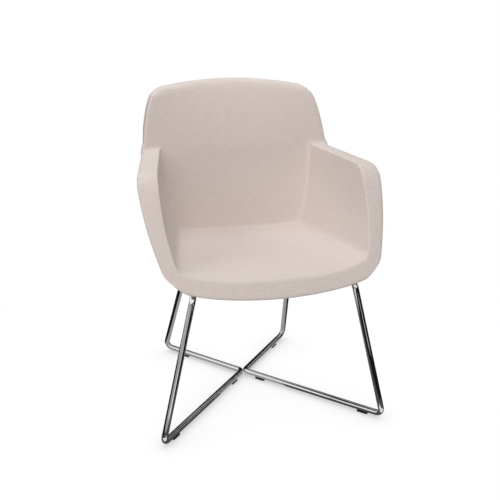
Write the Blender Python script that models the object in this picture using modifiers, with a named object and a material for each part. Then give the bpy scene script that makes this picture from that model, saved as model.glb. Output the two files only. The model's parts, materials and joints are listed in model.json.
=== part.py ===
"""Lounge chair: an upholstered tub seat on a base of two bent-wire loops.

Metres, +Z up, the front towards -Y, the floor at Z = 0 and the origin under the middle of the chair.
"""
import math

import bmesh
import bpy
from mathutils import Matrix, Vector

# Fits and mesh fineness
GAP = 0.0003  # left between pieces that touch
WELD = 0.00001  # points nearer than this are one point
TUBE_ROUNDNESS = 3  # bevel resolution of the rods: ten sides
BEND_STEPS = 6  # straight steps in one bend of a rod
TURN_STEPS = 16  # sides of a turned piece
SMALL_TURN_STEPS = 10  # sides of a small screw

# Wire base: two closed loops of round rod, mirrored about X = 0
ROD_D = 0.016
RAIL_Z = 0.3864  # middle of the top rails
FRONT_FOOT_X = 0.2922
FRONT_FOOT_Y = -0.2833
REAR_FOOT_X = 0.1952
REAR_FOOT_Y = 0.3066
FRONT_RAIL_X = 0.2050
FRONT_RAIL_Y = -0.2639
REAR_RAIL_X = 0.1502
REAR_RAIL_Y = 0.0792
CENTRE_Y = 0.0673  # where the floor runners of both loops meet
FOOT_BEND_R = 0.016
CENTRE_BEND_R = 0.016
RAIL_BEND_R = 0.020

# Glides under the floor runners
GLIDE_DROP = 0.005  # floor to the underside of the rod
GLIDE_LENGTH = 0.030
GLIDE_WIDTH = 0.012
GLIDE_LIP = 0.0045  # how far the saddle climbs the rod
GLIDE_EDGE = 0.002
FRONT_GLIDE_FROM_FOOT = 0.058
FRONT_GLIDE_FROM_CENTRE = 0.058
REAR_GLIDE_FROM_FOOT = 0.083

# Cross bars, seat board and the bolts between them
BAR_THICK = 0.006
BAR_WIDTH = 0.040
FRONT_BAR_Y = -0.2005
REAR_BAR_Y = 0.0345
BOARD_THICK = 0.010
BOARD_REAR_Y = 0.0945
BOARD_EDGE_MARGIN = 0.006  # board edge to the side of the rail
BOARD_CORNER_R = 0.020
BOLT_X = 0.060
BOLT_D = 0.006
BOLT_HEAD_D = 0.012
BOLT_HEAD_H = 0.005
BOLT_CHAMFER = 0.0007
BOLT_SHORT = 0.001  # bolt end to the top of the board
SOCKET_D = 0.006
SOCKET_DEPTH = 0.003
WASHER_D = 0.014
WASHER_THICK = 0.0015
NUT_FLANGE_D = 0.019
NUT_FLANGE_THICK = 0.0015
NUT_BARREL_D = 0.0085
NUT_SHORT = 0.001  # tee nut barrel end to the underside of the board
CLOTH_THICK = 0.001
CLOTH_MARGIN = 0.012  # dust cloth edge to the bars and rails

# Inner frames of bent rod, and the clips that hold them on the board
FRAME_D = 0.010
FRAME_FRONT_INSET = 0.040  # behind the front face
FRAME_TOP_INSET = 0.028  # under the arm top
FRAME_FOOT_X = 0.175  # where the ring leaves the board and climbs to the arm
FRAME_FRONT_BEND_R = 0.030
FRAME_ARM_BEND_R = 0.035
FRAME_BACK_BEND_R = 0.020
HOOP_FOOT_X = 0.100
HOOP_FOOT_Y = -0.0005
HOOP_TOP_X = 0.170
HOOP_TOP_INSET = 0.050  # under the top of the back
HOOP_COVER = 0.0205  # behind the deepest line of the hollow back
HOOP_FOOT_BEND_R = 0.030
HOOP_TOP_BEND_R = 0.040
CLIP_THICK = 0.0015
CLIP_WIDTH = 0.014
CLIP_REACH = 0.024  # rod middle to the end of a clip foot
CLIP_SCREW_REACH = 0.0165  # rod middle to a clip screw
CLIP_X = 0.120
CLIP_Y = 0.0195
CLIP_ARC_STEPS = 6
SCREW_D = 0.0035
SCREW_LENGTH = 0.008
SCREW_HEAD_D = 0.007
SCREW_HEAD_H = 0.0022

# Upholstery, with heights counted from the seat line, where arms and back stand on the seat pad
SEAT_FOAM = 0.0427  # top of the board to the seat line
SEAT_FRONT_Y = -0.2626  # front face at the seat line
FRONT_LEAN = math.radians(31.2)  # the front face leans back
ARM_RISE = 0.208
ARM_TOP_SLOPE = 0.055  # the arm top climbs to the back
ARM_HALF_WIDTH = 0.3165  # outer face at the front top corner
ARM_THICK = 0.053
ARM_OUTER_DRAW_IN = 0.038  # outer face, from the top down to the seat line
ARM_INNER_DRAW_IN = 0.0235
TUB_TAPER = 0.172  # the tub narrows to the back by this much per metre and side
BACK_Y = 0.0942  # front face of the back at the seat line
BACK_LEAN = math.radians(8.5)
BACK_CURL_RISE = 0.200  # above this the back curls further backwards
BACK_CURL = 0.026  # extra set-back of the back's top
BACK_RISE = 0.407
BACK_THICK = 0.053
BACK_TOP_CROWN = 0.025  # middle of the top above its corners
BACK_TOP_NARROWING = 0.0205  # the back is this much narrower at its top than at the arms
BACK_CORNER_R = 0.040  # round corners at the top of the back
BACK_SIDE_INSET = 0.008  # the back's side edges lie this much inside the arms' outer faces
BACK_DISH = 0.022  # hollow across the front of the back
SEAT_DIP = 0.008  # seat surface under the seat line
SEAT_FRONT_DROP = 0.024  # further drop at the front edge
SEAT_EDGE_SHARE = 0.855  # share of the tub's half width that is seat
LIP_DROP = 0.0755  # seat line to the bottom of the front lip
LIP_THICK = 0.018
LIP_SIDE_RISE = 0.031  # the lip's underside climbs to its ends
LIP_CORNER_RISE = 0.022  # further climb in the rounded bottom corners
BOTTOM_INSET = 0.0295  # the tub's sides draw in to the underside
REAR_INSET = 0.045  # the rear draws in to the underside
TRIM = 0.030  # pads are formed this much too long and then trimmed flat
SEAT_DROP_SHARE = 0.22  # share of the depth over which the front edge falls
BACK_DISH_SHARE = 0.8  # share of the back's half width that is hollow
REAR_FLATNESS = 0.25  # share of that hollow that the rear face leaves out
CUTTER_REACH = 0.5

# How abruptly the soft forms turn: powers of the share of the way
SEAT_DISH_POWER = 3.5
SIDE_DRAW_IN_POWER = 2.5
LIP_CORNER_POWER = 8
BACK_NARROWING_POWER = 1.7

# Values worked out from the sizes above
ROD_R = ROD_D / 2
FRAME_R = FRAME_D / 2
RUNNER_Z = GLIDE_DROP + ROD_R
RAIL_TOP = RAIL_Z + ROD_R
BAR_BOTTOM = RAIL_TOP - BAR_THICK
BOARD_BOTTOM = RAIL_TOP + GAP
BOARD_TOP = BOARD_BOTTOM + BOARD_THICK
FRAME_Z = BOARD_TOP + GAP + FRAME_R
SEAT_Z = BOARD_TOP + SEAT_FOAM
ARM_Z = SEAT_Z + ARM_RISE
BACK_Z = SEAT_Z + BACK_RISE
UNDERSIDE_Z = BOARD_BOTTOM + GAP


def front_y(z):
    """The front face, one plane that leans back."""
    return SEAT_FRONT_Y + math.tan(FRONT_LEAN) * (z - SEAT_Z)


def back_plane_y(z):
    """The plane that the arms butt against."""
    return BACK_Y + math.tan(BACK_LEAN) * (z - SEAT_Z)


def back_y(z):
    """Front face of the back, which curls away above the arms."""
    curl_height = BACK_RISE - BACK_CURL_RISE
    climb = max(0.0, z - SEAT_Z - BACK_CURL_RISE) / curl_height
    return back_plane_y(z) + BACK_CURL * climb ** 2


def hollow(u):
    """Depth of the hollow in the back, u being the share of the half width."""
    return BACK_DISH * max(0.0, 1.0 - (u / BACK_DISH_SHARE) ** 2)


def below_arm_top(z):
    """0 at the arm top, 1 at the seat line."""
    return max(0.0, (ARM_Z - z) / ARM_RISE)


def outer_x(y, z):
    """Outer face of the tub's side."""
    at_front = ARM_HALF_WIDTH - ARM_OUTER_DRAW_IN * below_arm_top(z) ** 2
    return at_front - TUB_TAPER * (y - front_y(z))


def inner_x(y, z):
    """Inner face of an arm."""
    at_front = ARM_HALF_WIDTH - ARM_THICK - ARM_INNER_DRAW_IN * below_arm_top(z) ** 3
    return at_front - TUB_TAPER * (y - front_y(z))


def arm_top_z(y):
    return ARM_Z + ARM_TOP_SLOPE * (y - front_y(ARM_Z))


def rail_x(y):
    """Middle of a top rail, which draws in to the back."""
    share = (y - FRONT_RAIL_Y) / (REAR_RAIL_Y - FRONT_RAIL_Y)
    return FRONT_RAIL_X + share * (REAR_RAIL_X - FRONT_RAIL_X)


LIP_BACK_Y = front_y(UNDERSIDE_Z) + LIP_THICK
BOARD_FRONT_Y = LIP_BACK_Y + GAP


def start_empty():
    """Remove what the scene holds and make the collections for parts and cutters."""
    for old in list(bpy.data.objects):
        bpy.data.objects.remove(old, do_unlink=True)
    parts = bpy.data.collections.new("lounge_chair")
    cutters = bpy.data.collections.new("cutters")
    for group in (parts, cutters):
        bpy.context.scene.collection.children.link(group)
    root = bpy.data.objects.new("lounge_chair_origin", None)
    parts.objects.link(root)
    return parts, cutters, root


PARTS, CUTTERS, ROOT = start_empty()


def finish(name, colour, roughness, metallic=0.0):
    material = bpy.data.materials.new(name)
    material.use_nodes = True
    shader = material.node_tree.nodes["Principled BSDF"]
    shader.inputs["Base Color"].default_value = (*colour, 1.0)
    shader.inputs["Roughness"].default_value = roughness
    shader.inputs["Metallic"].default_value = metallic
    return material


CHROME = finish("chrome", (0.82, 0.83, 0.84), 0.08, 1.0)
ZINC_STEEL = finish("zinc_plated_steel", (0.60, 0.61, 0.62), 0.35, 1.0)
FRAME_STEEL = finish("black_frame_steel", (0.06, 0.06, 0.065), 0.45, 0.8)
BLACK_PLASTIC = finish("black_plastic", (0.012, 0.012, 0.013), 0.5)
PLYWOOD = finish("birch_plywood", (0.62, 0.46, 0.29), 0.6)
FABRIC = finish("warm_grey_fabric", (0.66, 0.59, 0.56), 0.9)
DUST_CLOTH = finish("black_dust_cloth", (0.02, 0.02, 0.02), 0.95)


def add_part(name, mesh, material):
    part = bpy.data.objects.new(name, mesh)
    mesh.name = name
    mesh.materials.clear()
    mesh.materials.append(material)
    PARTS.objects.link(part)
    part.parent = ROOT
    return part


def add_cutter(name, mesh):
    cutter = bpy.data.objects.new(name, mesh)
    CUTTERS.objects.link(cutter)
    cutter.hide_render = True
    cutter.display_type = "WIRE"
    return cutter


def cut(part, cutters):
    for cutter in cutters:
        boolean = part.modifiers.new("cut_" + cutter.name, "BOOLEAN")
        boolean.operation = "DIFFERENCE"
        boolean.solver = "EXACT"
        boolean.object = cutter


def close_slits(part):
    """Fill the hair-thin three-sided slits that a row of cuts can leave where their edges nearly meet."""
    graph = bpy.context.evaluated_depsgraph_get()
    mesh = bpy.data.meshes.new_from_object(part.evaluated_get(graph))
    shape = bmesh.new()
    shape.from_mesh(mesh)
    slits = [edge for edge in shape.edges if edge.is_boundary]
    if slits:
        bmesh.ops.holes_fill(shape, edges=slits, sides=3)
        shape.to_mesh(mesh)
        part.modifiers.clear()
        part.data = mesh
    else:
        bpy.data.meshes.remove(mesh)
    shape.free()


def mesh_of_curve(curve):
    """A closed mesh of a curve, with its caps welded on."""
    holder = bpy.data.objects.new("holder", curve)
    bpy.context.scene.collection.objects.link(holder)
    graph = bpy.context.evaluated_depsgraph_get()
    mesh = bpy.data.meshes.new_from_object(holder.evaluated_get(graph))
    bpy.data.objects.remove(holder)
    bpy.data.curves.remove(curve)
    shape = bmesh.new()
    shape.from_mesh(mesh)
    bmesh.ops.remove_doubles(shape, verts=shape.verts, dist=WELD)
    bmesh.ops.recalc_face_normals(shape, faces=shape.faces)
    shape.to_mesh(mesh)
    shape.free()
    return mesh


def poly_curve(points, closed, dimensions):
    curve = bpy.data.curves.new("outline", "CURVE")
    curve.dimensions = dimensions
    spline = curve.splines.new("POLY")
    spline.points.add(len(points) - 1)
    for control, point in zip(spline.points, points):
        place = Vector(point).to_3d()
        control.co = (place.x, place.y, place.z, 1.0)
    spline.use_cyclic_u = closed
    return curve


def tube_mesh(points, diameter, closed):
    curve = poly_curve(points, closed, "3D")
    curve.bevel_depth = diameter / 2
    curve.bevel_resolution = TUBE_ROUNDNESS
    curve.use_fill_caps = not closed
    mesh = mesh_of_curve(curve)
    mesh.shade_smooth()
    mesh.set_sharp_from_angle(angle=math.radians(50))
    return mesh


def plate_mesh(points, thickness):
    """A flat outline given a thickness, with its middle at local Z = 0."""
    curve = poly_curve(points, True, "2D")
    curve.fill_mode = "BOTH"
    curve.extrude = thickness / 2
    return mesh_of_curve(curve)


def box_mesh(low, high):
    mesh = bpy.data.meshes.new("box")
    shape = bmesh.new()
    bmesh.ops.create_cube(shape, size=1.0)
    for vert in shape.verts:
        vert.co = [a if side < 0 else b for side, a, b in zip(vert.co, low, high)]
    shape.to_mesh(mesh)
    shape.free()
    return mesh


def profile_mesh(points, closed):
    """A profile in the XZ plane, for turning about Z."""
    mesh = bpy.data.meshes.new("profile")
    count = len(points)
    edges = [(i, (i + 1) % count) for i in range(count if closed else count - 1)]
    mesh.from_pydata([(r, 0.0, z) for r, z in points], edges, [])
    return mesh


def turn(obj, steps):
    screw = obj.modifiers.new("turned", "SCREW")
    screw.axis = "Z"
    screw.angle = math.tau
    screw.steps = steps
    screw.render_steps = steps
    screw.use_merge_vertices = True
    screw.merge_threshold = WELD
    return obj


def rounded_path(corners):
    """Straight runs joined by arcs, from (corner, bend radius) pairs."""
    points = []
    for i, (corner, radius) in enumerate(corners):
        corner = Vector(corner)
        if radius == 0.0:
            points.append(corner)
            continue
        before = (Vector(corners[i - 1][0]) - corner).normalized()
        after = (Vector(corners[(i + 1) % len(corners)][0]) - corner).normalized()
        half = before.angle(after) / 2
        middle = corner + (before + after).normalized() * radius / math.sin(half)
        run = radius / math.tan(half)
        first = (corner + before * run - middle).normalized()
        last = (corner + after * run - middle).normalized()
        for step in range(BEND_STEPS + 1):
            points.append(middle + first.slerp(last, step / BEND_STEPS) * radius)
    return points


def cage_mesh(loops, form, is_sharp):
    """A cube with cuts across its three sides, whose corners are then moved by the form."""
    mesh = bpy.data.meshes.new("cage")
    cage = bmesh.new()
    bmesh.ops.create_cube(cage, size=1.0)
    for vert in cage.verts:
        vert.co = [cuts[0] if side < 0 else cuts[-1] for side, cuts in zip(vert.co, loops)]
    for axis, cuts in enumerate(loops):
        normal = Vector((0.0, 0.0, 0.0))
        normal[axis] = 1.0
        for at in cuts[1:-1]:
            everything = cage.verts[:] + cage.edges[:] + cage.faces[:]
            bmesh.ops.bisect_plane(cage, geom=everything, plane_co=normal * at, plane_no=normal)
    crease = cage.edges.layers.float.new("crease_edge")
    for edge in cage.edges:
        if all(is_sharp(*vert.co) for vert in edge.verts):
            edge[crease] = 1.0
    for vert in cage.verts:
        vert.co = form(*vert.co)
    bmesh.ops.recalc_face_normals(cage, faces=cage.faces)
    cage.to_mesh(mesh)
    cage.free()
    mesh.shade_smooth()
    return mesh


def soften(pad):
    subdivision = pad.modifiers.new("soft_form", "SUBSURF")
    subdivision.levels = 1
    subdivision.render_levels = 1
    return pad


# Wire base
def centre_corner_x():
    """Where one loop's runners would meet without their bend, so that both loops' bends just touch."""
    x = 0.0
    for _ in range(4):
        to_front = Vector((FRONT_FOOT_X - x, FRONT_FOOT_Y - CENTRE_Y)).normalized()
        to_rear = Vector((REAR_FOOT_X - x, REAR_FOOT_Y - CENTRE_Y)).normalized()
        half = to_front.angle(to_rear) / 2
        along = (to_front + to_rear).normalized().x
        x = (ROD_D + GAP) / 2 + CENTRE_BEND_R * (1 - along / math.sin(half))
    return x


CENTRE_X = centre_corner_x()


def loop_path(side):
    corners = [
        ((side * FRONT_FOOT_X, FRONT_FOOT_Y, RUNNER_Z), FOOT_BEND_R),
        ((side * FRONT_RAIL_X, FRONT_RAIL_Y, RAIL_Z), RAIL_BEND_R),
        ((side * REAR_RAIL_X, REAR_RAIL_Y, RAIL_Z), RAIL_BEND_R),
        ((side * REAR_FOOT_X, REAR_FOOT_Y, RUNNER_Z), FOOT_BEND_R),
        ((side * CENTRE_X, CENTRE_Y, RUNNER_Z), CENTRE_BEND_R),
    ]
    return rounded_path(corners)


SIDES = (("left", -1), ("right", 1))
rod_cutters = {}
for label, side in SIDES:
    add_part(label + "_wire_loop", tube_mesh(loop_path(side), ROD_D, True), CHROME)
    rod_cutters[side] = add_cutter(label + "_rod_room", tube_mesh(loop_path(side), ROD_D + 2 * GAP, True))


def add_glide(name, side, start, end, distance):
    """A saddle under a runner, the given distance from the runner's start."""
    start = Vector(start)
    direction = (Vector(end) - start).normalized()
    place = start + direction * distance
    half = (GLIDE_LENGTH / 2, GLIDE_WIDTH / 2)
    low = (-half[0], -half[1], 0.0)
    high = (half[0], half[1], GLIDE_DROP + GLIDE_LIP)
    glide = add_part(name, box_mesh(low, high), BLACK_PLASTIC)
    glide.location = (side * place.x, place.y, 0.0)
    glide.rotation_euler.z = math.atan2(direction.y, side * direction.x)
    edge = glide.modifiers.new("soft_edges", "BEVEL")
    edge.width = GLIDE_EDGE
    edge.segments = 2
    cut(glide, [rod_cutters[side]])


front_foot = (FRONT_FOOT_X, FRONT_FOOT_Y)
rear_foot = (REAR_FOOT_X, REAR_FOOT_Y)
centre = (CENTRE_X, CENTRE_Y)
for label, side in SIDES:
    add_glide(label + "_front_outer_glide", side, front_foot, centre, FRONT_GLIDE_FROM_FOOT)
    add_glide(label + "_front_inner_glide", side, centre, front_foot, FRONT_GLIDE_FROM_CENTRE)
    add_glide(label + "_rear_glide", side, rear_foot, centre, REAR_GLIDE_FROM_FOOT)


# Cross bars, welded between the rails
bars = {}
for label, y in (("front", FRONT_BAR_Y), ("rear", REAR_BAR_Y)):
    front, rear = y - BAR_WIDTH / 2, y + BAR_WIDTH / 2
    outline = [
        (-rail_x(front), front),
        (rail_x(front), front),
        (rail_x(rear), rear),
        (-rail_x(rear), rear),
    ]
    bars[label] = add_part(label + "_cross_bar", plate_mesh(outline, BAR_THICK), ZINC_STEEL)
    bars[label].location.z = BAR_BOTTOM + BAR_THICK / 2
    cut(bars[label], rod_cutters.values())


# Seat board
def board_half_width(y):
    return rail_x(y) - ROD_R - BOARD_EDGE_MARGIN


def board_outline(grow):
    """The board's outline, or its recess if it is grown by a clearance."""
    front, rear = BOARD_FRONT_Y - grow, BOARD_REAR_Y + grow
    front_x, rear_x = board_half_width(BOARD_FRONT_Y) + grow, board_half_width(BOARD_REAR_Y) + grow
    corners = [(-front_x, front), (front_x, front), (rear_x, rear), (-rear_x, rear)]
    return rounded_path([((x, y, 0.0), BOARD_CORNER_R) for x, y in corners])


board = add_part("seat_board", plate_mesh(board_outline(0.0), BOARD_THICK), PLYWOOD)
board.location.z = BOARD_BOTTOM + BOARD_THICK / 2

# Dust cloth under the board, between the bars
cloth_front = FRONT_BAR_Y + BAR_WIDTH / 2 + CLOTH_MARGIN
cloth_rear = REAR_BAR_Y - BAR_WIDTH / 2 - CLOTH_MARGIN
cloth_outline = [
    (-board_half_width(cloth_front) + CLOTH_MARGIN, cloth_front),
    (board_half_width(cloth_front) - CLOTH_MARGIN, cloth_front),
    (board_half_width(cloth_rear) - CLOTH_MARGIN, cloth_rear),
    (-board_half_width(cloth_rear) + CLOTH_MARGIN, cloth_rear),
]
cloth = add_part("underside_cloth", plate_mesh(cloth_outline, CLOTH_THICK), DUST_CLOTH)
cloth.location.z = BOARD_BOTTOM - GAP - CLOTH_THICK / 2


# Bolts, washers and tee nuts
WASHER_TOP = BAR_BOTTOM - GAP
HEAD_TOP = WASHER_TOP - WASHER_THICK - GAP
BOLT_R = BOLT_D / 2
BORE_R = BOLT_R + GAP


def ring_profile(inner, outer, bottom, top):
    return [(inner, top), (outer, top), (outer, bottom), (inner, bottom)]


def rod_profile(radius, bottom, top):
    return [(0.0, top), (radius, top), (radius, bottom), (0.0, bottom)]


def bolt_profile():
    end = BOARD_TOP - BOLT_SHORT
    head_r = BOLT_HEAD_D / 2
    head_bottom = HEAD_TOP - BOLT_HEAD_H
    return [
        (0.0, end),
        (BOLT_R - BOLT_CHAMFER, end),
        (BOLT_R, end - BOLT_CHAMFER),
        (BOLT_R, HEAD_TOP),
        (head_r, HEAD_TOP),
        (head_r, head_bottom + BOLT_CHAMFER),
        (head_r - BOLT_CHAMFER, head_bottom),
        (0.0, head_bottom),
    ]


def nut_sizes(grow):
    """Flange underside, barrel radius and flange radius, grown by a clearance for the hole."""
    flange_bottom = BOARD_TOP - NUT_FLANGE_THICK - grow
    return flange_bottom, NUT_BARREL_D / 2 + grow, NUT_FLANGE_D / 2 + grow


def tee_nut_profile():
    flange_bottom, barrel_r, flange_r = nut_sizes(0.0)
    end = BOARD_BOTTOM + NUT_SHORT
    return [
        (BORE_R, BOARD_TOP),
        (flange_r, BOARD_TOP),
        (flange_r, flange_bottom),
        (barrel_r, flange_bottom),
        (barrel_r, end),
        (BORE_R, end),
    ]


def nut_hole_profile():
    flange_bottom, barrel_r, flange_r = nut_sizes(GAP)
    above, below = BOARD_TOP + BOARD_THICK, BOARD_BOTTOM - BOARD_THICK
    return [
        (0.0, above),
        (flange_r, above),
        (flange_r, flange_bottom),
        (barrel_r, flange_bottom),
        (barrel_r, below),
        (0.0, below),
    ]


def hex_mesh(across_corners, bottom, top):
    mesh = bpy.data.meshes.new("socket")
    shape = bmesh.new()
    radius = across_corners / 2
    bmesh.ops.create_cone(
        shape, cap_ends=True, segments=6, radius1=radius, radius2=radius, depth=top - bottom
    )
    bmesh.ops.translate(shape, verts=shape.verts, vec=(0.0, 0.0, (top + bottom) / 2))
    shape.to_mesh(mesh)
    shape.free()
    return mesh


def add_turned(name, profile, closed, x, y, material, steps):
    part = add_part(name, profile_mesh(profile, closed), material)
    part.location = (x, y, 0.0)
    return turn(part, steps)


def add_turned_cutter(name, profile, x, y, steps):
    cutter = add_cutter(name, profile_mesh(profile, False))
    cutter.location = (x, y, 0.0)
    return turn(cutter, steps)


def add_bolt(label, side, bar, y):
    x = side * BOLT_X
    bolt = add_turned(label + "_bolt", bolt_profile(), False, x, y, ZINC_STEEL, TURN_STEPS)
    head_bottom = HEAD_TOP - BOLT_HEAD_H
    socket_mesh = hex_mesh(SOCKET_D, head_bottom - SOCKET_DEPTH, head_bottom + SOCKET_DEPTH)
    socket = add_cutter(label + "_socket", socket_mesh)
    socket.location = (x, y, 0.0)
    cut(bolt, [socket])
    washer = ring_profile(BORE_R, WASHER_D / 2, WASHER_TOP - WASHER_THICK, WASHER_TOP)
    add_turned(label + "_washer", washer, True, x, y, ZINC_STEEL, TURN_STEPS)
    add_turned(label + "_tee_nut", tee_nut_profile(), True, x, y, ZINC_STEEL, TURN_STEPS)
    bore = rod_profile(BORE_R, BAR_BOTTOM - BAR_THICK, RAIL_TOP + BAR_THICK)
    cut(bar, [add_turned_cutter(label + "_bar_hole", bore, x, y, TURN_STEPS)])
    cut(board, [add_turned_cutter(label + "_nut_hole", nut_hole_profile(), x, y, TURN_STEPS)])


for end, y in (("front", FRONT_BAR_Y), ("rear", REAR_BAR_Y)):
    for label, side in SIDES:
        add_bolt(label + "_" + end, side, bars[end], y)


# Inner frames
def hoop_y(z):
    """The back hoop's legs, straight from the seat line to the hoop's top."""
    depth = BACK_DISH + HOOP_COVER
    top = BACK_Z - HOOP_TOP_INSET
    bottom_y = back_y(SEAT_Z) + depth
    slope = (back_y(top) + depth - bottom_y) / (top - SEAT_Z)
    return bottom_y + slope * (z - SEAT_Z)


def hoop_path():
    top = BACK_Z - HOOP_TOP_INSET
    right = [
        ((HOOP_FOOT_X, HOOP_FOOT_Y, FRAME_Z), 0.0),
        ((HOOP_FOOT_X, hoop_y(FRAME_Z), FRAME_Z), HOOP_FOOT_BEND_R),
        ((HOOP_TOP_X, hoop_y(top), top), HOOP_TOP_BEND_R),
    ]
    left = [((-x, y, z), radius) for (x, y, z), radius in reversed(right)]
    return rounded_path(right + left)


def arm_middle_x(y, z):
    return (inner_x(y, z) + outer_x(y, z)) / 2


def arm_ring_path():
    """Over the front of the board, up the arms and along them, and across in front of the hoop's legs."""
    foot_y = front_y(FRAME_Z) + FRAME_FRONT_INSET
    knee_y = front_y(SEAT_Z) + FRAME_FRONT_INSET
    arm_z = ARM_Z - FRAME_TOP_INSET
    arm_y = front_y(arm_z) + FRAME_FRONT_INSET
    rear_z = arm_top_z(BACK_Y) - FRAME_TOP_INSET
    lean = (hoop_y(BACK_Z) - hoop_y(SEAT_Z)) / BACK_RISE
    rear_y = hoop_y(rear_z) - (FRAME_D + GAP) * math.hypot(1.0, lean)
    right = [
        ((FRAME_FOOT_X, foot_y, FRAME_Z), FRAME_FRONT_BEND_R),
        ((arm_middle_x(knee_y, SEAT_Z), knee_y, SEAT_Z), FRAME_FRONT_BEND_R),
        ((arm_middle_x(arm_y, arm_z), arm_y, arm_z), FRAME_ARM_BEND_R),
        ((arm_middle_x(rear_y, rear_z), rear_y, rear_z), FRAME_BACK_BEND_R),
    ]
    left = [((-x, y, z), radius) for (x, y, z), radius in reversed(right)]
    return rounded_path(right + left)


FRAME_ROOM_D = FRAME_D + 2 * GAP
add_part("arm_frame", tube_mesh(arm_ring_path(), FRAME_D, True), FRAME_STEEL)
add_part("back_frame", tube_mesh(hoop_path(), FRAME_D, False), FRAME_STEEL)
ring_room = add_cutter("arm_frame_room", tube_mesh(arm_ring_path(), FRAME_ROOM_D, True))
hoop_room = add_cutter("back_frame_room", tube_mesh(hoop_path(), FRAME_ROOM_D, False))


# Clips over the frames, and their screws
def arc(radius, start, end):
    """Points round the rod's middle, in degrees, with the board's top at height 0."""
    middle = GAP + FRAME_R
    points = []
    for step in range(CLIP_ARC_STEPS + 1):
        angle = math.radians(start + (end - start) * step / CLIP_ARC_STEPS)
        points.append((radius * math.cos(angle), middle + radius * math.sin(angle)))
    return points


def clip_outline():
    inner = FRAME_R + GAP
    outer = inner + CLIP_THICK
    foot_top = GAP + CLIP_THICK
    left_foot = [(-CLIP_REACH, GAP), (-CLIP_REACH, foot_top), (-outer, foot_top)]
    right_foot = [(outer, foot_top), (CLIP_REACH, foot_top), (CLIP_REACH, GAP), (inner, GAP)]
    return left_foot + arc(outer, 180, 0) + right_foot + arc(inner, 0, 180) + [(-inner, GAP)]


def screw_profile():
    foot_top = BOARD_TOP + GAP + CLIP_THICK
    seat = foot_top + GAP
    return [
        (0.0, seat + SCREW_HEAD_H),
        (SCREW_HEAD_D / 4, seat + SCREW_HEAD_H),
        (SCREW_HEAD_D / 2, seat + SCREW_HEAD_H / 2),
        (SCREW_HEAD_D / 2, seat),
        (SCREW_D / 2, seat),
        (SCREW_D / 2, BOARD_TOP - SCREW_LENGTH + SCREW_D / 2),
        (0.0, BOARD_TOP - SCREW_LENGTH),
    ]


pad_rooms = []


def add_clip(name, x, y, rod_along_x):
    """A strap over a frame rod at (x, y), with a screw through each foot."""
    clip = add_part(name + "_clip", plate_mesh(clip_outline(), CLIP_WIDTH), ZINC_STEEL)
    across = Vector((0.0, 1.0, 0.0)) if rod_along_x else Vector((1.0, 0.0, 0.0))
    up = Vector((0.0, 0.0, 1.0))
    turned = Matrix((across, up, across.cross(up))).transposed().to_4x4()
    clip.matrix_world = Matrix.Translation((x, y, BOARD_TOP)) @ turned
    hole = rod_profile(SCREW_D / 2 + GAP, BOARD_TOP - SCREW_LENGTH - GAP, BOARD_TOP + 2 * FRAME_D)
    for number, reach in enumerate((-CLIP_SCREW_REACH, CLIP_SCREW_REACH), 1):
        place = Vector((x, y, 0.0)) + across * reach
        label = name + "_clip_screw_" + str(number)
        add_turned(label, screw_profile(), False, place.x, place.y, ZINC_STEEL, SMALL_TURN_STEPS)
        cutter = add_turned_cutter(label + "_hole", hole, place.x, place.y, SMALL_TURN_STEPS)
        cut(clip, [cutter])
        cut(board, [cutter])
    room = across * (CLIP_REACH + GAP) + across.cross(up) * (CLIP_WIDTH / 2 + GAP)
    half = Vector((abs(room.x), abs(room.y), 0.0))
    top = FRAME_Z + FRAME_R + 2 * GAP + CLIP_THICK
    low = Vector((x, y, BOARD_TOP - BOARD_THICK)) - half
    high = Vector((x, y, top)) + half
    pad_rooms.append(add_cutter(name + "_clip_room", box_mesh(low, high)))


ring_front_y = front_y(FRAME_Z) + FRAME_FRONT_INSET
for label, side in SIDES:
    add_clip(label + "_front", side * CLIP_X, ring_front_y, True)
    add_clip(label + "_rear", side * HOOP_FOOT_X, CLIP_Y, False)


# Upholstery
def seat_form(u, v, w):
    """u across (-1 to 1), v from front to rear (0 to 1), w from underside to top (0 to 1)."""
    fall = max(0.0, 1.0 - v / SEAT_DROP_SHARE) ** 2
    across = max(0.0, 1.0 - (abs(u) / SEAT_EDGE_SHARE) ** SEAT_DISH_POWER)
    is_seat = 1.0 if v < SEAT_REAR_SHARE - WELD else 0.0
    top = SEAT_Z - across * is_seat * (SEAT_DIP + SEAT_FRONT_DROP * fall)
    bottom = SEAT_Z - LIP_DROP + LIP_SIDE_RISE * u ** 2 + LIP_CORNER_RISE * abs(u) ** LIP_CORNER_POWER
    z = bottom + (top - bottom) * w
    drawn_in = max(0.0, 1.0 - w) ** SIDE_DRAW_IN_POWER
    rear = back_y(SEAT_Z) + BACK_THICK + (1.0 - REAR_FLATNESS) * hollow(u) - REAR_INSET * drawn_in
    y = front_y(z) + v * (rear - front_y(z))
    x = u * (outer_x(y, max(z, SEAT_Z)) - BOTTOM_INSET * drawn_in)
    return x, y, z


SEAT_REAR_SHARE = (BACK_Y - SEAT_FRONT_Y) / (BACK_Y + BACK_THICK - SEAT_FRONT_Y)


def seat_rim(u, v, w):
    """The flush joints under the arms and the back stay sharp."""
    outside = abs(u) > 1.0 - WELD or v > 1.0 - WELD
    under_arm_front = v < WELD and abs(u) > SEAT_EDGE_SHARE - WELD
    return w > 1.0 - WELD and (outside or under_arm_front)


def mirrored(shares):
    return [-share for share in reversed(shares)] + [0.0] + list(shares)


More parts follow.
